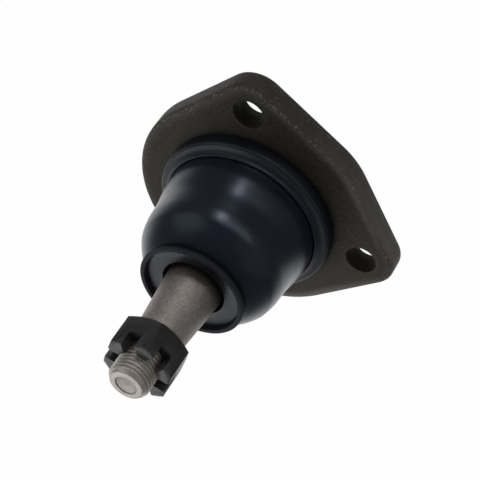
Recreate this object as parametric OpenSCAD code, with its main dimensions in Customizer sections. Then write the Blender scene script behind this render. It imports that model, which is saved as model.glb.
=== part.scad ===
// Bolt-on suspension ball joint: a forged flange housing that holds a ball stud between two
// bearings under a spring-loaded cover, with a rubber dust boot and a slotted hex nut.
// Z runs along the stud at rest, which points down. The origin is where the ball axis meets
// the flange's lower face.

/* [Flange] */
// Radius of the flange's round end about the ball axis
flange_r = 42.9; // [41:0.1:44]
// Thickness of the flange
flange_t = 8.5; // [8:0.1:9]
// Distance of the bolt holes from the ball axis, along the flange
bolt_x = 27.7; // [27:0.1:28.5]
// Distance of each bolt hole from the flange's centre line
bolt_y = 32.4; // [32:0.1:33]
// Diameter of the bolt holes
bolt_d = 11; // [10:0.1:11.5]
// Radius of the flange's rim round each bolt hole
lobe_r = 11.5; // [11:0.1:12]
// Reach of the blunt nose between the two bolt holes
nose_reach = 46.4; // [46:0.1:47]
// Radius of the blunt nose
nose_r = 28; // [25:0.5:30]

/* [Housing] */
// Radius of the bore that holds the bearings
bore_r = 20.4; // [20.2:0.1:20.6]
// Outer radius of the socket below the flange
socket_r = 24; // [23.9:0.1:24]
// Outer radius of the cup above the flange
cup_r = 25.5; // [25.4:0.1:26]
// Height of the cover's seat above the flange's lower face
cover_z = 17.1; // [17:0.1:18]

/* [Ball stud] */
// Depth of the ball's centre below the flange's lower face
ball_z = 4.4; // [4.3:0.1:4.6]
// Diameter of the ball
ball_d = 32; // [31.8:0.1:32]
// Radius of the neck under the ball
neck_r = 7.7; // [7.5:0.1:7.8]
// Diameter of the taper at the boot's mouth
taper_d = 20.2; // [20:0.1:20.4]
// Length over which the taper's diameter falls by one unit
taper_ratio = 6; // [6:0.5:8]
// Diameter of the thread
thread_d = 14.28; // [14:0.01:14.3]
// Depth of the stud's tip below the flange's lower face
tip_z = 86; // [85.5:0.1:86.5]

/* [Nut] */
// Width of the nut across its flats
nut_af = 22.2; // [21.5:0.1:22.5]
// Height of the nut
nut_h = 12.7; // [12.3:0.1:13]
// Depth of the nut's upper face below the flange's lower face
nut_z = 66.7; // [66.5:0.1:67]
// Width of the six slots
slot_w = 5; // [4.6:0.1:5.2]
// Depth of the six slots
slot_h = 6; // [5.6:0.1:6.4]
// Turn of the nut's corners from the X axis
nut_turn = 28; // [0:1:60]

/* [Boot] */
// Thickness of the boot's wall
boot_wall = 1.9; // [1.7:0.1:1.9]
// Outer radius of the clamping ring at the boot's base
ring_r = 31.8; // [31.5:0.1:32.2]
// Height of the clamping ring's outer wall
ring_h = 5.3; // [5:0.1:5.5]
// Depth of the flat face round the boot's mouth
mouth_z = 41.4; // [41.2:0.1:41.6]
// Radius of the hole in the stiffening ring at the boot's mouth
mouth_r = 11.2; // [11.1:0.1:11.3]
// Outer radius of the lip round the boot's mouth
lip_r = 18.9; // [18.6:0.1:19.2]

/* [Hidden] */
$fn = 96;

// Gap between the ball and its bearings, and between the upper bearing and the bore
ball_gap = 0.1;
bore_gap = 0.1;
ball_r = ball_d / 2;
seat_r = ball_r + ball_gap;
ledge = 9.9;
socket_h = ball_z + 14.5;
cover_t = 2.4;
cover_r = 22.4;
bearing_split = 0.7;
upper_top = 13.7;
boss_z = cover_z + 6;
fitting_r = 3.1;
taper_end = nut_z - 1.2;
nose_x = nose_reach - nose_r;

// Points of an arc from angle a0 to a1
function arc(x, y, r, a0, a1, n) =
    [for (i = [0:n]) let (a = a0 + (a1 - a0) * i / n) [x + r * cos(a), y + r * sin(a)]];

// Half width of a sphere about the origin at height z
function sphere_w(r, z) = sqrt(r * r - z * z);

// Smooth curve through the points p, with n steps between each two
function bend(a, b, c, d, t) = 0.5 * ((2 * b) + (c - a) * t
    + (2 * a - 5 * b + 4 * c - d) * t * t + (3 * b - a - 3 * c + d) * t * t * t);
function smooth(p, n) = [for (i = [0:len(p) - 2], j = [0:n - 1])
    bend(p[max(i - 1, 0)], p[i], p[i + 1], p[min(i + 2, len(p) - 1)], j / n), p[len(p) - 1]];

// Radius of the stud's taper at a depth below the flange's lower face
function taper_at(depth) = taper_d / 2 - (depth - mouth_z) / taper_ratio / 2;

// Turns a profile of [radius, depth] points about the stud, depth counted downwards
module turn_down(profile) {
    mirror([0, 0, 1])
        rotate_extrude()
            polygon(profile);
}

// Turns a profile of [radius, height] points about the ball axis
module turn_up(profile) {
    rotate_extrude()
        polygon(profile);
}

// Direction of the outward normal of the line that touches circle a and then circle b
function touch(a, b) = atan2(b[1] - a[1], b[0] - a[0])
    - acos((a[2] - b[2]) / norm([b[0] - a[0], b[1] - a[1]]));

// The flange's outline: four circles, the nose, two lobes and the round end, joined by the
// lines that touch them
flange_circles = [[nose_x, 0, nose_r], [bolt_x, bolt_y, lobe_r],
    [0, 0, flange_r], [bolt_x, -bolt_y, lobe_r]];
function next_normal(i) = touch(flange_circles[i], flange_circles[(i + 1) % 4]);
function unwrap(a, low) = a < low ? unwrap(a + 360, low) : a;
function flange_outline() = [for (i = [0:3])
    let (c = flange_circles[i], a0 = next_normal((i + 3) % 4), a1 = unwrap(next_normal(i), a0))
    each arc(c[0], c[1], c[2], a0, a1, ceil((a1 - a0) / 4))];

module housing() {
    fillet = 3.5;
    lip_top = cover_z + cover_t + 2;
    lip_in = 20.2;
    opening = 13.3;
    mouth = 15.6;
    ledge_depth = ball_z + ledge;
    outside = concat(
        [[mouth, -socket_h]],
        arc(socket_r - 3.7, -socket_h + 2.5, 2.5, -90, -5, 6),
        [[socket_r, -8], [socket_r, 0], [cup_r + fillet, 0.5], [cup_r + fillet, flange_t]],
        arc(cup_r + fillet, flange_t + fillet, fillet, -90, -180, 8),
        arc(cup_r - 3, lip_top - 3, 3, 0, 90, 8),
        arc(lip_in + 1, lip_top - 1, 1, 90, 180, 4));
    inside = [[lip_in, cover_z + cover_t], [cover_r, cover_z + cover_t], [cover_r, cover_z],
        [bore_r, cover_z], [bore_r, -ledge_depth], [opening, -ledge_depth]];
    color([0.17, 0.16, 0.14])
        difference() {
            union() {
                turn_up(concat(outside, inside));
                difference() {
                    linear_extrude(flange_t) polygon(flange_outline());
                    translate([0, 0, -1]) cylinder(r = bore_r, h = flange_t + 2);
                }
            }
            for (side = [-1, 1])
                translate([bolt_x, side * bolt_y, -1]) cylinder(d = bolt_d, h = flange_t + 2);
        }
}

module lower_bearing() {
    top_a = asin(bearing_split / seat_r);
    foot_a = asin(ledge / seat_r);
    color([0.62, 0.55, 0.42])
        turn_down(concat(
            arc(0, ball_z, seat_r, top_a, foot_a, 16),
            [[bore_r, ball_z + ledge], [bore_r, ball_z + bearing_split]]));
}

module upper_bearing() {
    hole_r = 3;
    rim_r = bore_r - bore_gap;
    color([0.62, 0.55, 0.42])
        turn_up(concat(
            [[rim_r, bearing_split - ball_z], [rim_r, upper_top - 3], [rim_r - 2, upper_top],
                [hole_r, upper_top]],
            arc(0, -ball_z, seat_r, 90 - asin(hole_r / seat_r),
                asin(bearing_split / seat_r), 24)));
}

module ball_stud() {
    crown = 14.8;
    neck_end = ball_z + 19.3;
    taper_start = 29.4;
    neck_a = acos(neck_r / ball_r);
    thread_r = thread_d / 2;
    tip_r = 5.8;
    chamfer = 1.75;
    dimple_r = 3.8;
    flare = smooth([[neck_r, neck_end], [neck_r + 0.7, neck_end + 2],
        [taper_at(taper_start) - 0.6, taper_start - 1.8], [taper_at(taper_start), taper_start]], 5);
    color([0.5, 0.47, 0.44])
        difference() {
            turn_down(concat(
                [[0, ball_z - crown]],
                arc(0, ball_z, ball_r, -asin(crown / ball_r), neck_a, 32),
                flare,
                [[taper_at(taper_end), taper_end], [thread_r, taper_end + 0.9],
                    [thread_r, tip_z - chamfer], [tip_r, tip_z], [dimple_r, tip_z],
                    [dimple_r - 1.2, tip_z - 1], [0, tip_z - 1]]));
            translate([0, 0, -(nut_z + nut_h - slot_h / 2)])
                rotate([0, 90, nut_turn + 150])
                    cylinder(d = 3.3, h = 30, center = true);
        }
}

// One ring of the wire, as points about the wire's centre at angle a of a coil
function wire_ring(r, z, a, wire, sides) = [for (k = [0:sides - 1])
    let (w = 360 * k / sides, q = r + wire * cos(w)) [q * cos(a), q * sin(a), z + wire * sin(w)]];

// A coil of round wire whose radius and height change evenly from one end to the other
module coil(r0, r1, z0, z1, turns, wire, steps, sides) {
    rings = turns * steps;
    points = [for (i = [0:rings]) each wire_ring(r0 + (r1 - r0) * i / rings,
        z0 + (z1 - z0) * i / rings, 360 * i / steps, wire, sides)];
    walls = [for (i = [0:rings - 1], k = [0:sides - 1]) let (m = (k + 1) % sides)
        [i * sides + k, (i + 1) * sides + k, (i + 1) * sides + m, i * sides + m]];
    start = [for (k = [0:sides - 1]) k];
    end = [for (k = [sides - 1:-1:0]) rings * sides + k];
    polyhedron(points, concat(walls, [start, end]));
}

module preload_spring() {
    wire = 0.9;
    play = 0.05;
    color([0.35, 0.37, 0.4])
        coil(13, 7.6, upper_top + wire + play, cover_z + 1.5 - wire - play, 2, wire, 24, 8);
}

module cover_plate() {
    dome_r = 16;
    boss_r = 6.5;
    play = 0.02;
    rise = 1.5;
    color([0.2, 0.19, 0.17])
        turn_up(concat(
            [[fitting_r + play, cover_z + rise], [dome_r - rise, cover_z + rise],
                [dome_r, cover_z], [cover_r, cover_z], [cover_r, cover_z + cover_t],
                [dome_r + 2, cover_z + cover_t]],
            smooth([[dome_r, cover_z + cover_t + 0.9], [boss_r + 4, cover_z + cover_t + 1.6],
                [boss_r + 1.2, cover_z + cover_t + 2.1], [boss_r, boss_z - 0.6]], 4),
            [[boss_r - 0.6, boss_z], [fitting_r + play, boss_z]]));
}

module grease_fitting() {
    hex_af = 7.9;
    hex_h = 3.6;
    head_z = boss_z + hex_h;
    duct_r = 1.3;
    seat = 0.6;
    color([0.66, 0.62, 0.5])
        difference() {
            union() {
                translate([0, 0, boss_z]) cylinder(d = hex_af / cos(30), h = hex_h, $fn = 6);
                turn_up(concat(
                    [[0, cover_z + 1.8], [fitting_r - 0.4, cover_z + 1.8],
                        [fitting_r, cover_z + 2.4], [fitting_r, boss_z], [2.7, head_z],
                        [2.3, head_z + 1.7]],
                    arc(0, head_z + 3.3, 3.2, -30, 40, 7),
                    [[1.5, head_z + 5.6], [0, head_z + 5.6]]));
            }
            translate([0, 0, cover_z + 2.4]) cylinder(r = duct_r, h = head_z + 1.8 - cover_z);
            cylinder(r = seat, h = head_z + 6);
        }
}

module fitting_check_ball() {
    color([0.75, 0.75, 0.77])
        translate([0, 0, boss_z + 6.65])
            sphere(r = 1.1, $fn = 48);
}

module fitting_spring() {
    wire = 0.25;
    low = cover_z + 2.7;
    high = boss_z + 5.15;
    color([0.7, 0.7, 0.72])
        coil(0.95, 0.95, low, high, 5, wire, 12, 6);
}

// Outside of the boot as [radius, depth] points, from its base to the crease above the lip
boot_curve = [[27.5, 9], [27.45, 12], [26.9, 15.7], [26.15, 20], [25.8, 24.5], [25.5, 28],
    [24.7, 31.4], [23.6, 33.6], [22.1, 35.8], [20.4, 37.6], [18.7, 38.9], [17.5, 39.8]];
boot_crease = [[17.1, 40.5], [17.7, 41]];

module dust_boot() {
    base_r = 27.6;
    bead_r = socket_r + 0.1;
    rim = 17;
    floor_z = mouth_z - 1.5;
    inner = [for (p = boot_curve) [p[0] - boot_wall, p[1] - max(0, (p[1] - 28) / 10 * 1.5)]];
    color([0.11, 0.125, 0.16])
        turn_down(concat(
            [[bead_r, 0], [base_r, 0], [base_r, 8]],
            smooth(boot_curve, 3),
            boot_crease,
            arc(lip_r - 0.8, mouth_z + 0.7, 0.8, -60, 0, 2),
            arc(lip_r - 0.8, mouth_z + 1.2, 0.8, 0, 150, 6),
            [[rim, mouth_z], [rim, floor_z], [mouth_r + 0.6, floor_z],
                [mouth_r + 0.6, floor_z - 1.5], [14.6, floor_z - 1.6]],
            [for (i = [len(inner) - 2:-1:1]) inner[i]],
            [[bead_r, 8]]));
}

module boot_clamp_ring() {
    inner_r = 27.65;
    step_r = 28.4;
    step_h = 7.3;
    color([0.12, 0.13, 0.17])
        turn_down(concat(
            [[inner_r, 0], [ring_r, 0]],
            arc(ring_r - 1.4, ring_h - 1.4, 1.4, 0, 80, 6),
            [[step_r + 1.1, ring_h + 0.3], [step_r + 0.4, ring_h + 0.7]],
            arc(step_r - 0.2, step_h - 0.5, 0.5, 0, 180, 6),
            [[inner_r, step_h - 0.8]]));
}

module boot_mouth_ring() {
    edge = 0.3;
    low = mouth_z - 1.5;
    color([0.25, 0.26, 0.28])
        turn_down([[mouth_r, low], [17, low], [17, mouth_z], [mouth_r + edge, mouth_z],
            [mouth_r, mouth_z - edge]]);
}

module castle_nut() {
    corner_r = nut_af / cos(30) / 2;
    bore = thread_d / 2 + 0.02;
    face_r = nut_af / 2 - 0.1;
    foot = nut_z + nut_h;
    slot_round = 0.9;
    slot_x = slot_w / 2 - slot_round;
    slot_end = slot_h - slot_round;
    color([0.15, 0.15, 0.16])
        difference() {
            intersection() {
                translate([0, 0, -foot])
                    rotate([0, 0, nut_turn])
                        cylinder(r = corner_r, h = nut_h, $fn = 6);
                turn_down([[0, nut_z], [face_r, nut_z], [corner_r + 0.1, nut_z + 1.1],
                    [corner_r + 0.1, foot - 0.9], [face_r - 0.4, foot], [0, foot]]);
            }
            translate([0, 0, -foot - 1]) cylinder(r = bore, h = nut_h + 2);
            translate([0, 0, -foot - 0.01]) cylinder(r1 = bore + 0.5, r2 = bore, h = 0.6);
            for (turn = [30, 90, 150])
                translate([0, 0, -foot])
                    rotate([90, 0, nut_turn + turn + 90])
                        linear_extrude(2 * nut_af, center = true)
                            polygon(concat([[-slot_w / 2, -1], [slot_w / 2, -1]],
                                arc(slot_x, slot_end, slot_round, 0, 90, 4),
                                arc(-slot_x, slot_end, slot_round, 90, 180, 4)));
        }
}

housing();
lower_bearing();
upper_bearing();
ball_stud();
preload_spring();
cover_plate();
grease_fitting();
fitting_check_ball();
fitting_spring();
dust_boot();
boot_clamp_ring();
boot_mouth_ring();
castle_nut();
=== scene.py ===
import math

import bmesh
import bpy
from mathutils import Matrix, Vector


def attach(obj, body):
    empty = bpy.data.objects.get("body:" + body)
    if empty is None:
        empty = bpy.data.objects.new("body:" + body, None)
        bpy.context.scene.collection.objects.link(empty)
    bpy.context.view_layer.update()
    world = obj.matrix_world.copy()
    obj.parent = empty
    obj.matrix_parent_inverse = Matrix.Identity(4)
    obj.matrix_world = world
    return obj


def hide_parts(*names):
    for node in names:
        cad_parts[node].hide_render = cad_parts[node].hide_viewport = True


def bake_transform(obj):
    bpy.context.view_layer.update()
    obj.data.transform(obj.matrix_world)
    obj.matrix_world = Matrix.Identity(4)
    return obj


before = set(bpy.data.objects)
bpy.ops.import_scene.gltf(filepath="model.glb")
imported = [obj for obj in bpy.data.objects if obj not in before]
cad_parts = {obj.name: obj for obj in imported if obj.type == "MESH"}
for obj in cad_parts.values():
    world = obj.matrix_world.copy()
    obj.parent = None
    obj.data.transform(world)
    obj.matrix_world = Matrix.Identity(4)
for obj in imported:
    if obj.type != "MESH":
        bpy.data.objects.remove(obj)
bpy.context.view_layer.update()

# A bolt-on suspension ball joint. Its stud points down at rest, and the origin is where the
# ball's axis meets the flange's front face. Profiles are in mm, as points of radius and depth
# below that face, or of radius and height above it.
MM = 0.001
scene = bpy.context.scene


# Material nodes

def grey(value):
    return (value, value, value)


def node(tree, kind, **values):
    """A new node. in_NAME sets an input's value, and any other name sets a property."""
    made = tree.nodes.new(kind)
    for name, value in values.items():
        if name.startswith("in_"):
            made.inputs[name[3:].replace("_", " ")].default_value = value
        else:
            setattr(made, name, value)
    return made


def feed(tree, socket, value):
    """Sets a socket to a number or a colour, or links another node's output to it."""
    if isinstance(value, tuple):
        socket.default_value = (*value, 1.0)
    elif isinstance(value, (int, float)):
        socket.default_value = value
    else:
        tree.links.new(value, socket)


def noise(tree, scale, detail, rough, stretch=None):
    """Noise in the object's own space. stretch scales it along X, Y and Z."""
    where = node(tree, "ShaderNodeTexCoord").outputs["Object"]
    if stretch:
        mapping = node(tree, "ShaderNodeMapping", in_Scale=stretch)
        feed(tree, mapping.inputs["Vector"], where)
        where = mapping.outputs["Vector"]
    texture = node(tree, "ShaderNodeTexNoise", in_Scale=scale, in_Detail=detail,
                   in_Roughness=rough)
    feed(tree, texture.inputs["Vector"], where)
    return texture.outputs["Fac"]


def ramp(tree, source, stops, ease="LINEAR"):
    """Colour ramp over stops of (place, value), where a value is a colour or a grey level."""
    made = node(tree, "ShaderNodeValToRGB")
    made.color_ramp.interpolation = ease
    items = made.color_ramp.elements
    while len(items) < len(stops):
        items.new(0.5)
    for item, (place, value) in zip(items, stops):
        color = value if isinstance(value, tuple) else grey(value)
        item.position = place
        item.color = (*color, 1.0)
    feed(tree, made.inputs["Fac"], source)
    return made.outputs["Color"]


def level(tree, source, low, high):
    """0 where the source is below low, and 1 where it is above high."""
    return ramp(tree, source, [(low, 0.0), (high, 1.0)])


def mix(tree, share, a, b, blend="MIX"):
    """Colour a, with the given share of colour b blended in."""
    made = node(tree, "ShaderNodeMix", data_type="RGBA", blend_type=blend)
    sockets = [socket for socket in made.inputs if socket.enabled]
    for socket, value in zip(sockets, (share, a, b)):
        feed(tree, socket, value)
    return next(socket for socket in made.outputs if socket.enabled)


def calculate(tree, operation, a, b):
    made = node(tree, "ShaderNodeMath", operation=operation)
    feed(tree, made.inputs[0], a)
    feed(tree, made.inputs[1], b)
    return made.outputs[0]


def product(tree, a, b):
    return calculate(tree, "MULTIPLY", a, b)


def attribute(tree, name):
    return node(tree, "ShaderNodeAttribute", attribute_name=name).outputs["Fac"]


def along(tree, axis, start, end):
    """0 at start and 1 at end of one axis, in metres in the object's own space."""
    coords = node(tree, "ShaderNodeTexCoord")
    split = node(tree, "ShaderNodeSeparateXYZ")
    feed(tree, split.inputs[0], coords.outputs["Object"])
    made = node(tree, "ShaderNodeMapRange", in_From_Min=start, in_From_Max=end)
    feed(tree, made.inputs["Value"], split.outputs[axis])
    return made.outputs[0]


def bump(tree, sockets, height, distance, strength):
    made = node(tree, "ShaderNodeBump", in_Distance=distance, in_Strength=strength)
    feed(tree, made.inputs["Height"], height)
    feed(tree, sockets["Normal"], made.outputs["Normal"])


def material(name, metal=0.0, specular=0.5, tint=(1.0, 1.0, 1.0)):
    """A new material, its node tree and the sockets of its shader."""
    mat = bpy.data.materials.new(name)
    mat.use_nodes = True
    sockets = mat.node_tree.nodes["Principled BSDF"].inputs
    feed(mat.node_tree, sockets["Metallic"], metal)
    feed(mat.node_tree, sockets["Specular IOR Level"], specular)
    feed(mat.node_tree, sockets["Specular Tint"], tint)
    return mat, mat.node_tree, sockets


# Materials

def forged_coat():
    """Dark olive coat over a forged skin: mottled, paler where it is worn, with fine chips."""
    mat, tree, sockets = material("forged_coat", specular=0.14)
    broad = noise(tree, 55, 4, 0.6)
    fine = noise(tree, 650, 5, 0.7)
    coat = ramp(tree, broad, [(0.32, (0.0095, 0.0088, 0.0062)),
                              (0.55, (0.0155, 0.014, 0.0092)),
                              (0.78, (0.025, 0.0195, 0.0115))])
    coat = mix(tree, level(tree, fine, 0.35, 0.75), coat, (0.034, 0.031, 0.023))

    # Painted light: paler away from the nose, and paler and browner towards the lobe at +Y, so the
    # plate stays darkest where the boot shades it
    painted_light_away_from_nose = along(tree, "X", 0.03, -0.042)
    coat = mix(tree, painted_light_away_from_nose, coat, (0.038, 0.034, 0.027))
    painted_light_and_brown_at_lobe = product(tree, along(tree, "Y", 0.016, 0.044), 0.45)
    coat = mix(tree, painted_light_and_brown_at_lobe, coat, (0.044, 0.034, 0.020))

    # Worn pale all over the edge, with chips in patches and a rubbed line along its front
    wear = attribute(tree, "wear")
    pale = mix(tree, along(tree, "Y", -0.02, 0.03), (0.066, 0.062, 0.057), (0.19, 0.178, 0.163))
    coat = mix(tree, product(tree, wear, 0.7), coat, pale)
    dashes = calculate(tree, "MAXIMUM", noise(tree, 2400, 1, 0.5, (1.0, 0.4, 0.6)),
                       noise(tree, 2400, 1, 0.5, (0.4, 1.0, 0.6)))
    patches = level(tree, noise(tree, 110, 3, 0.6), 0.44, 0.6)
    chips = product(tree, patches, level(tree, dashes, 0.6, 0.76))
    coat = mix(tree, product(tree, wear, chips), coat, (0.2, 0.186, 0.165))
    rubs = level(tree, noise(tree, 1100, 3, 0.65), 0.5, 0.68)
    coat = mix(tree, product(tree, attribute(tree, "edge"), rubs), coat, (0.18, 0.166, 0.15))

    feed(tree, sockets["Base Color"], coat)
    feed(tree, sockets["Roughness"], ramp(tree, fine, [(0.3, 0.72), (0.8, 0.5)]))
    height = calculate(tree, "ADD", product(tree, broad, 0.6), fine)
    bump(tree, sockets, height, 0.00016, 0.7)
    return mat


def rubber():
    """Smooth satin blue-black rubber, dull on the lip, with painted shade nearly black in the
    groove and on the lip's outer side.
    """
    mat, tree, sockets = material("boot_rubber", specular=0.46, tint=(0.72, 0.85, 1.0))
    matt = attribute(tree, "matt")
    crease = attribute(tree, "crease")
    tone = ramp(tree, noise(tree, 60, 3, 0.5), [(0.3, (0.0072, 0.0092, 0.018)),
                                                (0.75, (0.0108, 0.0132, 0.0238))])
    tone = mix(tree, matt, tone, (0.019, 0.0185, 0.022))
    # Painted shade: near-black base colour in the groove and on the lip's outer side next to it
    feed(tree, sockets["Base Color"], mix(tree, crease, tone, (0.002, 0.002, 0.003)))
    rough = ramp(tree, noise(tree, 140, 4, 0.6), [(0.3, 0.27), (0.7, 0.33)])
    rough = mix(tree, matt, rough, grey(0.8))
    feed(tree, sockets["Roughness"], mix(tree, crease, rough, grey(1.0)))
    bump(tree, sockets, noise(tree, 1400, 3, 0.6), 0.00002, 0.35)
    return mat


def coated(name, color, rough, specular, grain):
    """Thin satin coat on pressed steel, cloudy in tone and gloss."""
    mat, tree, sockets = material(name, specular=specular, tint=(0.84, 0.91, 1.0))
    darker = tuple(c * 0.75 for c in color)
    lighter = tuple(c * 1.2 for c in color)
    tone = ramp(tree, noise(tree, 90, 3, 0.5), [(0.3, darker), (0.72, lighter)])
    feed(tree, sockets["Base Color"], tone)
    gloss = ramp(tree, noise(tree, 300, 3, 0.6), [(0.3, rough - 0.05), (0.7, rough + 0.07)])
    feed(tree, sockets["Roughness"], gloss)
    bump(tree, sockets, noise(tree, 1600, 3, 0.6), grain, 0.5)
    return mat


def steel():
    """Shot-blasted warm grey steel: mottled and pitted, bright where turned, with painted shade at
    the taper's root and dirt in the dimple.
    """
    mat, tree, sockets = material("stud_steel", metal=1.0)
    turned = attribute(tree, "turned")
    tone = ramp(tree, noise(tree, 170, 4, 0.6), [(0.3, (0.38, 0.343, 0.32)),
                                                 (0.72, (0.49, 0.447, 0.42))])
    grain = ramp(tree, noise(tree, 1700, 3, 0.6), [(0.36, 0.68), (0.52, 0.86), (0.68, 1.04)])
    tone = mix(tree, 1.0, tone, grain, "MULTIPLY")
    tone = mix(tree, turned, tone, (0.56, 0.53, 0.49))
    # Painted shade on the taper's root by the boot's mouth, and dirt in the end face's dimple
    tone = mix(tree, attribute(tree, "root_shade_and_dimple_dirt"), tone, (0.05, 0.042, 0.036))
    feed(tree, sockets["Base Color"], tone)
    feed(tree, sockets["Roughness"], mix(tree, turned, grey(0.6), grey(0.48)))
    bump(tree, sockets, noise(tree, 1100, 4, 0.75), 0.00007, 0.8)
    return mat


def black_oxide():
    """Black oxide on machined steel, with painted light on the prongs' end faces."""
    mat, tree, sockets = material("black_oxide")
    tone = ramp(tree, noise(tree, 220, 4, 0.6), [(0.3, (0.0125, 0.0125, 0.0135)),
                                                 (0.72, (0.0245, 0.0245, 0.0265))])
    # Painted light: paler colour on the end faces of the prongs
    tone = mix(tree, attribute(tree, "painted_light_ends"), tone, (0.047, 0.047, 0.051))
    feed(tree, sockets["Base Color"], tone)
    gloss = ramp(tree, noise(tree, 500, 3, 0.6), [(0.3, 0.36), (0.7, 0.5)])
    feed(tree, sockets["Roughness"], gloss)
    bump(tree, sockets, noise(tree, 1000, 3, 0.6), 0.00004, 0.6)
    return mat


def bare_metal(name, color, rough):
    """Drawn or plated metal, slightly cloudy."""
    mat, tree, sockets = material(name, metal=1.0)
    darker = tuple(c * 0.82 for c in color)
    tone = ramp(tree, noise(tree, 260, 4, 0.6), [(0.3, darker), (0.7, color)])
    feed(tree, sockets["Base Color"], tone)
    feed(tree, sockets["Roughness"], rough)
    bump(tree, sockets, noise(tree, 900, 3, 0.6), 0.00003, 0.5)
    return mat


def bearing_plastic():
    """Matt cream plastic."""
    mat, tree, sockets = material("bearing_plastic")
    tone = ramp(tree, noise(tree, 120, 3, 0.5), [(0.3, (0.36, 0.3, 0.2)),
                                                 (0.7, (0.42, 0.35, 0.24))])
    feed(tree, sockets["Base Color"], tone)
    feed(tree, sockets["Roughness"], 0.48)
    bump(tree, sockets, noise(tree, 900, 3, 0.6), 0.00003, 0.4)
    return mat


FORGED = forged_coat()
RUBBER = rubber()
RING = coated("clamp_ring_coat", (0.0095, 0.011, 0.017), 0.44, 0.4, 0.00003)
MOUTH = coated("mouth_ring_coat", (0.014, 0.016, 0.020), 0.32, 0.3, 0.00006)
STEEL = steel()
OXIDE = black_oxide()
SPRING = bare_metal("spring_steel", (0.3, 0.31, 0.33), 0.36)
ZINC = bare_metal("yellow_zinc", (0.62, 0.52, 0.3), 0.3)
PLASTIC = bearing_plastic()


# Profiles and meshes

# A length in mm that counts as none: between points that coincide, or at a pole
TINY = 1e-6


def fade(value, start, end):
    """0 up to start and 1 from end on, even in between."""
    return min(1.0, max(0.0, (value - start) / (end - start)))


def arc(x, y, r, a0, a1, n):
    """n + 1 points of an arc from angle a0 to a1, in degrees."""
    return [(x + r * math.cos(math.radians(a0 + (a1 - a0) * i / n)),
             y + r * math.sin(math.radians(a0 + (a1 - a0) * i / n))) for i in range(n + 1)]


def smooth_curve(points, n):
    """Catmull-Rom curve through the points, with n steps between each two."""
    out = []
    for i in range(len(points) - 1):
        a, b, c, d = (points[max(0, min(len(points) - 1, i + k))] for k in (-1, 0, 1, 2))
        for j in range(n):
            t = j / n
            out.append(tuple(0.5 * (2 * b[k] + (c[k] - a[k]) * t
                       + (2 * a[k] - 5 * b[k] + 4 * c[k] - d[k]) * t * t
                       + (3 * b[k] - a[k] - 3 * c[k] + d[k]) * t ** 3) for k in (0, 1)))
    return out + [points[-1]]


def rounded(profile, radius):
    """Rounds the corners of a closed profile, apart from slight ones."""
    slight = 25.0
    most_of_side = 0.45
    steps = 3
    out = []
    for i in range(len(profile)):
        p, a, b = (Vector(profile[(i + k) % len(profile)]) for k in (0, -1, 1))
        u, v = a - p, b - p
        if min(u.length, v.length) < TINY:
            continue
        turn = math.pi - u.angle(v)
        if math.degrees(turn) < slight:
            out.append((p.x, p.y))
            continue
        cut = min(radius * math.tan(turn / 2), most_of_side * min(u.length, v.length))
        start, end = p + u.normalized() * cut, p + v.normalized() * cut
        for k in range(steps + 1):
            t = k / steps
            q = start * (1 - t) ** 2 + p * 2 * t * (1 - t) + end * t * t
            out.append((q.x, q.y))
    return out


def bridge(bm, one, two):
    """Faces between two rings of vertices: quads, or triangles to a ring that is a point."""
    for k in range(len(one)):
        m = (k + 1) % len(one)
        corners = list(dict.fromkeys([one[k], one[m], two[m], two[k]]))
        if len(corners) > 2:
            bm.faces.new(corners)


def finish_mesh(name, bm, mat, sharp):
    """Object with smooth faces that meet at a sharp edge past the given angle."""
    bmesh.ops.recalc_face_normals(bm, faces=bm.faces)
    mesh = bpy.data.meshes.new(name)
    bm.to_mesh(mesh)
    bm.free()
    for face in mesh.polygons:
        face.use_smooth = True
    mesh.set_sharp_from_angle(angle=math.radians(sharp))
    obj = bpy.data.objects.new(name, mesh)
    scene.collection.objects.link(obj)
    mesh.materials.append(mat)
    return obj


def lathe(name, profile, mat, segments=144, up=False, sharp=35.0, radius_at=None):
    """Turns a closed profile of (radius, depth) points, or (radius, height) points if up.

    radius_at, if given, works out the radius anew from radius, depth and angle.
    """
    bm = bmesh.new()
    rings = []
    sign = 1 if up else -1
    for r, depth in profile:
        if r < TINY:
            rings.append([bm.verts.new((0, 0, sign * depth * MM))] * segments)
            continue
        ring = []
        for k in range(segments):
            angle = 2 * math.pi * k / segments
            rad = radius_at(r, depth, angle) if radius_at else r
            ring.append(bm.verts.new((rad * math.cos(angle) * MM, rad * math.sin(angle) * MM,
                                      sign * depth * MM)))
        rings.append(ring)
    for one, two in zip(rings, rings[1:] + rings[:1]):
        bridge(bm, one, two)
    return finish_mesh(name, bm, mat, sharp)


def softened(name, cad_node, mat, width):
    """The CAD node's own shape with its sharp edges broken by a small round."""
    weld = 0.002
    flat = math.radians(0.8)
    sharp = math.radians(28)
    bm = bmesh.new()
    bm.from_mesh(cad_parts[cad_node].data)
    bmesh.ops.remove_doubles(bm, verts=bm.verts, dist=weld * MM)
    bmesh.ops.dissolve_limit(bm, angle_limit=flat, verts=bm.verts, edges=bm.edges)
    edges = [e for e in bm.edges if len(e.link_faces) == 2 and e.calc_face_angle() > sharp]
    bmesh.ops.bevel(bm, geom=edges, offset=width * MM, offset_type="OFFSET", segments=2,
                    profile=0.5, affect="EDGES", clamp_overlap=True, loop_slide=True)
    bmesh.ops.triangulate(bm, faces=[f for f in bm.faces if len(f.verts) > 4])
    return finish_mesh(name, bm, mat, 40)


def paint(obj, name, share_at):
    """Vertex attribute for a material, from each vertex's radius and depth in mm."""
    layer = obj.data.attributes.new(name, "FLOAT", "POINT")
    for vertex, item in zip(obj.data.vertices, layer.data):
        item.value = share_at(vertex.co.xy.length / MM, -vertex.co.z / MM)


def place(obj, body, slot, cad_node):
    """The piece rides on a body and stands for a CAD node."""
    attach(obj, body)
    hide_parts(cad_node)


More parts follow.
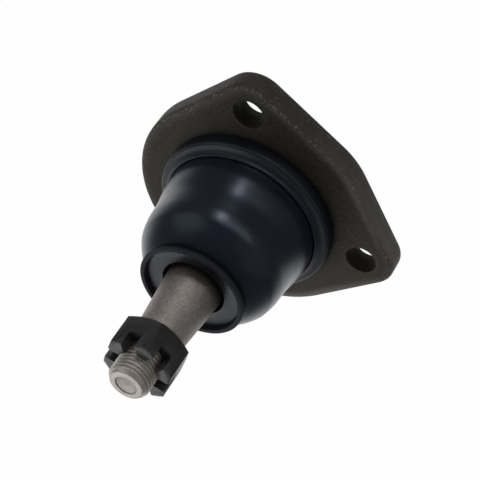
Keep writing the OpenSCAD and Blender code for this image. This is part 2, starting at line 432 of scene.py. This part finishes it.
# Flange: four circles, the nose, two lobes and the round end, joined by the lines that touch
# them. Each loop of its edge is that outline drawn in by an inset.
FLANGE_R, FLANGE_T = 42.9, 8.5
NOSE_REACH, NOSE_R = 46.4, 28.0
BOLT_X, BOLT_Y, LOBE_R = 27.7, 32.4, 11.5
FLANGE = [(NOSE_REACH - NOSE_R, 0.0, NOSE_R), (BOLT_X, BOLT_Y, LOBE_R), (0.0, 0.0, FLANGE_R),
          (BOLT_X, -BOLT_Y, LOBE_R)]
BOLTS = [(BOLT_X, BOLT_Y), (BOLT_X, -BOLT_Y)]
BOLT_R, CIRCLE_STEPS = 5.5, 56
FRONT_ROUND, BACK_ROUND, HOLE_ROUND = 1.9, 1.2, 0.25


def touch(a, b):
    """Direction of the outward normal of the line that touches circle a and then circle b."""
    away = math.hypot(b[0] - a[0], b[1] - a[1])
    return math.degrees(math.atan2(b[1] - a[1], b[0] - a[0]) - math.acos((a[2] - b[2]) / away))


def flange_outline(inset):
    """Points of the outline, drawn in by inset and step degrees apart on its arcs."""
    step = 2.5
    normals = [touch(FLANGE[i], FLANGE[(i + 1) % 4]) for i in range(4)]
    points = []
    for i, (x, y, r) in enumerate(FLANGE):
        start = normals[i - 1]
        span = (normals[i] - start) % 360
        points += arc(x, y, r - inset, start, start + span, math.ceil(span / step))
    return points


def edge_rows():
    """Inset, height and wear of each loop of the edge, from the front face to the back."""
    front, back = FRONT_ROUND, BACK_ROUND
    rows = [(4.2, 0.0, 0.15), (3.0, 0.0, 0.5)]
    rows += [(inset, z, 1.0) for inset, z in arc(front, front, front, -90, -180, 9)]
    rows += [(0.0, 4.5, 0.8)]
    rows += [(inset, z, 0.9) for inset, z in arc(back, FLANGE_T - back, back, 180, 90, 6)]
    return rows + [(4.0, FLANGE_T, 0.3)]


def spared(x, y, z):
    """Share of the wear that is missing on the front edge of the lobe at +Y."""
    return 0.75 * fade(y, 12, 28) * fade(x, 22, 30) if z < 0.6 else 0.0


def rubbed_line(z):
    """The front edge is rubbed bare in a line halfway round its curve."""
    if 0.1 < z < 0.5:
        return 1.0
    return 0.5 if 0.5 < z < 0.8 else 0.0


def edge_loops(bm, wear, edge):
    """Loops of vertices round the flange's edge, with how worn and how rubbed each one is."""
    loops = []
    for inset, z, worn in edge_rows():
        loop = []
        for x, y in flange_outline(inset):
            vertex = bm.verts.new((x * MM, y * MM, z * MM))
            vertex[wear] = worn * (1 - spared(x, y, z))
            vertex[edge] = rubbed_line(z)
            loop.append(vertex)
        loops.append(loop)
    return loops


def circle_loop(bm, wear, x, y, r, z, worn):
    """Loop of vertices on a circle about x, y at height z, all equally worn."""
    loop = []
    for px, py in arc(x, y, r, 0, 360, CIRCLE_STEPS)[:-1]:
        vertex = bm.verts.new((px * MM, py * MM, z * MM))
        vertex[wear] = worn
        loop.append(vertex)
    return loop


def flat_face(bm, wear, outline, z):
    """Fills a face round its three holes. Returns the loops round the bolts and the centre."""
    margin = 1.3
    centre_r = 22.0
    holes = [circle_loop(bm, wear, x, y, BOLT_R + margin, z, 0.12) for x, y in BOLTS]
    holes.append(circle_loop(bm, wear, 0, 0, centre_r, z, 0.0))
    edges = [bm.edges.get((a, b)) or bm.edges.new((a, b))
             for loop in [outline] + holes for a, b in zip(loop, loop[1:] + loop[:1])]
    bmesh.ops.triangle_fill(bm, edges=edges, use_beauty=True, normal=(0, 0, 1))
    return holes


def bolt_hole(bm, wear, x, y, front, back):
    """Wall of a bolt hole between its loops in the two faces, with a round at both ends."""
    rim = arc(BOLT_R + HOLE_ROUND, HOLE_ROUND, HOLE_ROUND, -90, -180, 3)
    loops = [front]
    for r, z in rim + [(r, FLANGE_T - z) for r, z in rim[::-1]]:
        loops.append(circle_loop(bm, wear, x, y, r, z, 0.2 if z < 0.2 else 0.1))
    loops.append(back)
    for one, two in zip(loops, loops[1:]):
        bridge(bm, one, two)


def flange():
    """Plate with a rounded edge, two bolt holes and an open middle that the cup covers."""
    bm = bmesh.new()
    wear = bm.verts.layers.float.new("wear")
    edge = bm.verts.layers.float.new("edge")
    loops = edge_loops(bm, wear, edge)
    for one, two in zip(loops, loops[1:]):
        bridge(bm, one, two)
    front = flat_face(bm, wear, loops[0], 0.0)
    back = flat_face(bm, wear, loops[-1], FLANGE_T)
    for (x, y), one, two in zip(BOLTS, front, back):
        bolt_hole(bm, wear, x, y, one, two)
    bridge(bm, front[-1], back[-1])
    return finish_mesh("flange", bm, FORGED, 30)


# Housing: the cup behind the flange and the socket in front of it, with heights above the face
SOCKET_R, SOCKET_H = 24.0, 18.9
BORE_R, LEDGE_H, OPENING_R = 20.4, 14.3, 13.3
CUP_R, CUP_TOP, CUP_FILLET = 25.5, 21.5, 3.5
COVER_R, COVER_Z, COVER_T = 22.4, 17.1, 2.4
LIP_IN = 20.2


def housing_cup():
    """Cup with its rolled lip, the bore for the bearings, and the socket under the boot."""
    foot_r = CUP_R + CUP_FILLET
    sunk = FLANGE_T - 0.1
    under_lip = COVER_Z + COVER_T + 0.05
    cup = arc(foot_r, FLANGE_T + CUP_FILLET, CUP_FILLET, -90, -180, 10)
    cup += arc(CUP_R - 3, CUP_TOP - 3, 3.0, 0, 90, 10)
    cup += arc(LIP_IN + 1, CUP_TOP - 1, 1.0, 90, 180, 6)
    bore = [(LIP_IN, under_lip), (COVER_R, under_lip), (COVER_R, COVER_Z), (BORE_R, COVER_Z),
            (BORE_R, -LEDGE_H), (OPENING_R, -LEDGE_H), (15.6, -SOCKET_H)]
    socket = arc(SOCKET_R - 3.7, 2.5 - SOCKET_H, 2.5, -90, -5, 6)
    socket += [(SOCKET_R, -8.0), (SOCKET_R, sunk), (foot_r, sunk)]
    return lathe("housing_cup", cup + bore + socket, FORGED, up=True)


# Boot with its clamp ring and mouth ring. The boot's outside is a curve from its base down to
# the groove behind its lip, and its wall grows thicker towards the mouth.
SEAT_GAP = 0.02
MOUTH_D, MOUTH_R, MOUTH_T, RIM_R = 41.4, 11.2, 1.5, 17.0
BOOT_R, BOOT_WALL = 27.55, 1.9
BOOT = [(27.5, 9), (27.45, 12), (26.9, 15.7), (26.15, 20), (25.8, 24.5), (25.5, 28),
        (24.7, 31.4), (23.6, 33.6), (22.1, 35.8), (20.4, 37.6), (18.7, 38.9), (17.5, 39.8)]
RING_R, RING_H, RING_ROUND, RING_IN = 31.8, 5.3, 1.4, 27.65


def dust_boot():
    """Hollow boot with a foot in the clamp ring, a groove, a rolled lip and a turned-in mouth."""
    bead_r = SOCKET_R + 0.1
    floor_d = MOUTH_D - MOUTH_T
    thick_from, thickening = 28, 0.15
    inside = [(r - BOOT_WALL, d - thickening * max(0, d - thick_from)) for r, d in BOOT[1:-1]]
    foot = [(bead_r, SEAT_GAP), (BOOT_R, SEAT_GAP), (27.58, 7.2), (27.4, 8.2)]
    groove = [(17.1, 40.1), (16.95, 40.4), (16.95, 40.85), (17.15, 41.12), (17.7, 41.25)]
    lip = arc(18.1, 42.05, 0.8, -75, 0, 5) + arc(18.35, 42.75, 0.55, 0, 90, 6)
    lip += arc(17.5, 43.0, 0.3, 90, 170, 4) + [(17.1, 42.2)]
    mouth = [(RIM_R, 41.6), (RIM_R, floor_d), (MOUTH_R + 0.6, floor_d),
             (MOUTH_R + 0.6, floor_d - 1.5), (14.6, floor_d - 1.6)]
    profile = foot + smooth_curve(BOOT, 7) + groove + lip + mouth
    profile += smooth_curve(inside, 4)[::-1] + [(bead_r, 8.0)]
    boot = lathe("dust_boot_skin", profile, RUBBER, 180, sharp=60)
    paint(boot, "matt", lambda r, depth: fade(depth, 40.4, 41.0))
    paint(boot, "crease", boot_crease)
    return boot


def boot_crease(r, depth):
    """Painted shade in the groove, and on the lip's outer side next to it."""
    if depth < 41.2:
        return fade(depth, 38.9, 39.7)
    return 0.85 * fade(depth, 42.7, 42.1) if r > 18.0 else 0.0


def clamp_ring():
    """Pressed ring with a round shoulder and a narrower step that grips the boot."""
    ring = [(RING_IN, SEAT_GAP), (RING_R, SEAT_GAP)]
    ring += arc(RING_R - RING_ROUND, RING_H - RING_ROUND, RING_ROUND, 0, 75, 8)
    ring += [(29.6, RING_H + 0.25), (28.95, RING_H + 0.65)]
    ring += arc(28.15, 6.75, 0.5, -10, 180, 10) + [(RING_IN, 6.4)]
    return lathe("clamp_ring", ring, RING, 180, sharp=60)


def mouth_ring():
    """Flat ring in the boot's mouth."""
    play = 0.02
    back, front = MOUTH_D - MOUTH_T, MOUTH_D - play
    section = [(MOUTH_R, back), (RIM_R - play, back), (RIM_R - play, front), (MOUTH_R, front)]
    return lathe("mouth_ring", rounded(section, 0.3), MOUTH)


# Ball stud: turned profile, with the thread's helix cut into its last part
BALL_D, BALL_R, NECK_R, CROWN_H = 4.4, 16.0, 7.7, 14.8
NECK_D = BALL_D + math.sqrt(BALL_R ** 2 - NECK_R ** 2)
TAPER_MOUTH, TAPER_RATIO, TAPER_FROM, TAPER_TO = 20.2, 6.0, 29.4, 65.5
PITCH, MAJOR_R, CREST_R, ROOT_R, RUN_OUT = 1.411, 7.14, 7.13, 6.3, 1.2
THREAD_FROM, CHAMFER_FROM, TIP, TIP_R = 66.5, 84.25, 86.0, 5.8
THREAD_TO = TIP - 0.15
DIMPLE_R, DIMPLE_H = 3.9, 0.85
# Depth in mm where the painted shade on the taper's root has faded out
ROOT_SHADE_TO = 45.5


def taper_at(depth):
    """Radius of the shank's taper."""
    return TAPER_MOUTH / 2 - (depth - MOUTH_D) / TAPER_RATIO / 2


def cut_thread(r, depth, angle):
    """The stud's radius at an angle. The crests are flat, and the groove fades in at its start."""
    if r < TIP_R or not THREAD_FROM <= depth < TIP - 0.1:
        return r
    turn = (depth - THREAD_FROM) / PITCH - angle / (2 * math.pi)
    crest = fade(abs((turn % 1.0) * 2 - 1), 0.22, 0.85)
    cut = (CREST_R - ROOT_R) * (1 - crest) * fade(depth, THREAD_FROM, THREAD_FROM + RUN_OUT)
    cone = MAJOR_R - (MAJOR_R - TIP_R) * fade(depth, CHAMFER_FROM, TIP)
    return min(cone, CREST_R - cut)


def stud_shade_and_dirt(r, depth):
    """Painted shade at the root of the taper, where it leaves the boot, and dirt in the dimple of
    the end face.
    """
    if r < DIMPLE_R - 0.1 and depth > TIP - 2:
        return 0.24
    return 0.9 * fade(depth, ROOT_SHADE_TO, MOUTH_D) ** 1.5 if depth > TAPER_FROM + 0.1 else 0.0


def stud_turned(r, depth):
    """1 on the ball and the thread, less on the end face, and 0 elsewhere and at both poles."""
    if r < TINY:
        return 0.0
    if depth > TIP - 0.1 or (r < DIMPLE_R and depth > TIP - 2):
        return 0.25
    return 1.0 if depth > THREAD_FROM - 0.05 or depth < NECK_D - 0.1 else 0.0


def ball_stud():
    """Ball, neck, tapered shank, thread and dimpled end in one turned profile."""
    rows = [(0, BALL_D - CROWN_H)]
    rows += arc(0, BALL_D, BALL_R, -67, math.degrees(math.acos(NECK_R / BALL_R)), 34)
    taper_r = taper_at(TAPER_FROM)
    rows += smooth_curve([(NECK_R, 23.7), (NECK_R + 0.7, 25.7),
                          (taper_r - 0.6, TAPER_FROM - 1.8), (taper_r, TAPER_FROM)], 5)
    # The rows of the taper lie close together where the painted shade fades
    rows += [(taper_at(d), d) for d in (40, MOUTH_D, 42, 43, 44, ROOT_SHADE_TO, 50, 60, 65)]
    rows += [(taper_at(TAPER_TO) - 0.05, TAPER_TO), (CREST_R + 0.01, THREAD_FROM - 0.1)]
    length = THREAD_TO - THREAD_FROM
    steps = int(length / (PITCH / 12))
    rows += [(CREST_R, THREAD_FROM + length * i / steps) for i in range(steps + 1)]
    rows += [(TIP_R - 0.1, TIP - 0.03), (TIP_R - 0.3, TIP), (DIMPLE_R, TIP)]
    rows += [(DIMPLE_R - 0.15, TIP - 0.3), (DIMPLE_R - 0.6, TIP - 0.42), (1.5, TIP - 0.75),
             (0, TIP - DIMPLE_H)]
    stud = lathe("stud", rows, STEEL, 120, sharp=50, radius_at=cut_thread)
    paint(stud, "turned", stud_turned)
    paint(stud, "root_shade_and_dimple_dirt", stud_shade_and_dirt)
    return stud


def slotted_nut():
    """The nut, with painted light on the end faces of its prongs."""
    nut = softened("slotted_nut", "castle_nut", OXIDE, 0.4)
    end_faces = 78.8
    paint(nut, "painted_light_ends", lambda r, depth: 1.0 if depth > end_faces else 0.0)
    return nut


# Cover: a dished disc with a boss round the grease nipple
FITTING_R, DOME_R, BOSS_R, BOSS_Z = 3.12, 16.0, 6.5, 23.1


def cover():
    """Disc held under the cup's lip, with a low dome and the boss."""
    rise = 1.5
    top = COVER_Z + COVER_T
    disc = [(FITTING_R, COVER_Z + rise), (DOME_R - rise, COVER_Z + rise), (DOME_R, COVER_Z),
            (COVER_R - 0.05, COVER_Z), (COVER_R - 0.05, top), (DOME_R + 2, top)]
    dome = smooth_curve([(DOME_R, top + 0.9), (BOSS_R + 4, top + 1.6), (BOSS_R + 1.2, top + 2.1),
                         (BOSS_R, BOSS_Z - 0.6)], 6)
    boss = arc(BOSS_R - 0.6, BOSS_Z - 0.6, 0.6, 0, 90, 5) + [(FITTING_R, BOSS_Z)]
    return lathe("cover", rounded(disc + dome + boss, 0.4), FORGED, up=True)


# Pieces on their bodies
place(flange(), "housing", "forged_housing", "housing")
place(housing_cup(), "housing", "forged_housing", "housing")
boot = dust_boot()
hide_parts("dust_boot")
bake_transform(boot)
place(clamp_ring(), "housing", "clamp_ring", "boot_clamp_ring")
place(mouth_ring(), "lean", "mouth_ring", "boot_mouth_ring")
place(ball_stud(), "stud", "stud_steel", "ball_stud")
place(slotted_nut(), "stud", "nut_black", "castle_nut")
place(cover(), "housing", "cover_steel", "cover_plate")
nipple = softened("grease_nipple", "grease_fitting", ZINC, 0.25)
place(nipple, "housing", "fitting_brass", "grease_fitting")

for name, mat in (("lower_bearing", PLASTIC), ("upper_bearing", PLASTIC),
                  ("preload_spring", SPRING), ("fitting_check_ball", SPRING),
                  ("fitting_spring", SPRING)):
    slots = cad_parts[name].data.materials
    slots.clear()
    slots.append(mat)


# Camera in front of the flange and below it, looking up. The photograph's size and the focal
# length are in pixels, the sensor in mm, the angles in degrees and the place in metres.
PHOTO_SIZE, FOCAL_LENGTH, SENSOR = 480, 1500, 36
AZIMUTH, ELEVATION, ROLL = 63.74966, -37.58095, 34.37712
CAMERA_AT = (0.362437, -0.174555, -0.323497)
view = (Matrix.Rotation(math.radians(AZIMUTH), 4, "Z")
        @ Matrix.Rotation(math.radians(90 - ELEVATION), 4, "X")
        @ Matrix.Rotation(math.radians(ROLL), 4, "Z"))

camera = bpy.data.objects.new("camera", bpy.data.cameras.new("camera"))
camera.data.sensor_width = SENSOR
camera.data.lens = FOCAL_LENGTH / PHOTO_SIZE * SENSOR
camera.data.clip_start = 0.01
camera.data.clip_end = 50
camera.matrix_world = Matrix.Translation(CAMERA_AT) @ view
scene.collection.objects.link(camera)
scene.camera = camera


# Lights. Their directions are given as (right, up, towards the camera)
LIT_POINT = Vector((0.0, 0.0, -0.03))


def in_view(direction):
    """A direction given as the camera sees it, in the shared frame."""
    return view.to_3x3() @ Vector(direction)


def softbox(name, direction, distance, size, power, across=(1.0, 0.0, 0.0)):
    """Area light at a distance in metres from the object, its first side along across."""
    way = in_view(direction).normalized()
    side = in_view(across)
    side = (side - way * side.dot(way)).normalized()
    light = bpy.data.lights.new(name, "AREA")
    light.shape = "RECTANGLE"
    light.size, light.size_y = size
    light.energy = power
    lamp = bpy.data.objects.new(name, light)
    turn = Matrix((side, way.cross(side), way)).transposed().to_4x4()
    lamp.matrix_world = Matrix.Translation(LIT_POINT + way * distance) @ turn
    scene.collection.objects.link(lamp)


softbox("key", (0.11, 0.83, 0.55), distance=1.0, size=(0.12, 0.12), power=1.15)
softbox("band", (0.45, 0.58, 0.68), distance=1.2, size=(1.1, 0.14), power=1.6,
        across=(0.67, -0.48, 0.0))
softbox("left_fill", (-0.7, 0.5, 0.5), distance=1.2, size=(0.9, 0.9), power=1.6)
softbox("right_fill", (0.75, -0.2, 0.63), distance=1.2, size=(1.3, 1.3), power=0.9)
softbox("low_fill", (-0.62, -0.7, 0.1), distance=1.2, size=(1.1, 1.1), power=8.5)


def world_light():
    """Light from all round: bright behind the object, as from a white backdrop, else dim."""
    world = bpy.data.worlds.new("studio")
    scene.world = world
    world.use_nodes = True
    tree = world.node_tree
    sky = tree.nodes["Background"]
    behind = node(tree, "ShaderNodeVectorMath", operation="DOT_PRODUCT")
    behind.inputs[1].default_value = in_view((0.0, 0.05, -1.0)).normalized()
    feed(tree, behind.inputs[0], node(tree, "ShaderNodeTexCoord").outputs["Generated"])
    shade = ramp(tree, behind.outputs["Value"], [(0.32, 0.13), (0.78, 1.0)], "EASE")
    feed(tree, sky.inputs["Color"], shade)
    feed(tree, sky.inputs["Strength"], 1.2)


world_light()


# Pale floor far below, and a white surround that only the camera sees
FLOOR_R, FLOOR_Z, SURROUND_R = 4.0, -0.9, 4.5


def emission(name, brightness):
    """Plain white that no light changes."""
    mat = bpy.data.materials.new(name)
    mat.use_nodes = True
    tree = mat.node_tree
    tree.nodes.remove(tree.nodes["Principled BSDF"])
    glow = node(tree, "ShaderNodeEmission", in_Color=(*grey(brightness), 1.0), in_Strength=1.0)
    feed(tree, tree.nodes["Material Output"].inputs["Surface"], glow.outputs[0])
    return mat


bm = bmesh.new()
bmesh.ops.create_circle(bm, cap_ends=True, segments=64, radius=FLOOR_R)
floor = finish_mesh("floor", bm, emission("floor_white", 0.965), 35)
floor.location.z = FLOOR_Z
bm = bmesh.new()
bmesh.ops.create_icosphere(bm, subdivisions=4, radius=SURROUND_R)
surround = finish_mesh("surround", bm, emission("surround_white", 0.992), 35)
for obj in (floor, surround):
    obj.visible_diffuse = False
    obj.visible_glossy = False
    obj.visible_transmission = False
    obj.visible_shadow = False

scene.view_settings.view_transform = "Standard"
scene.view_settings.look = "None"
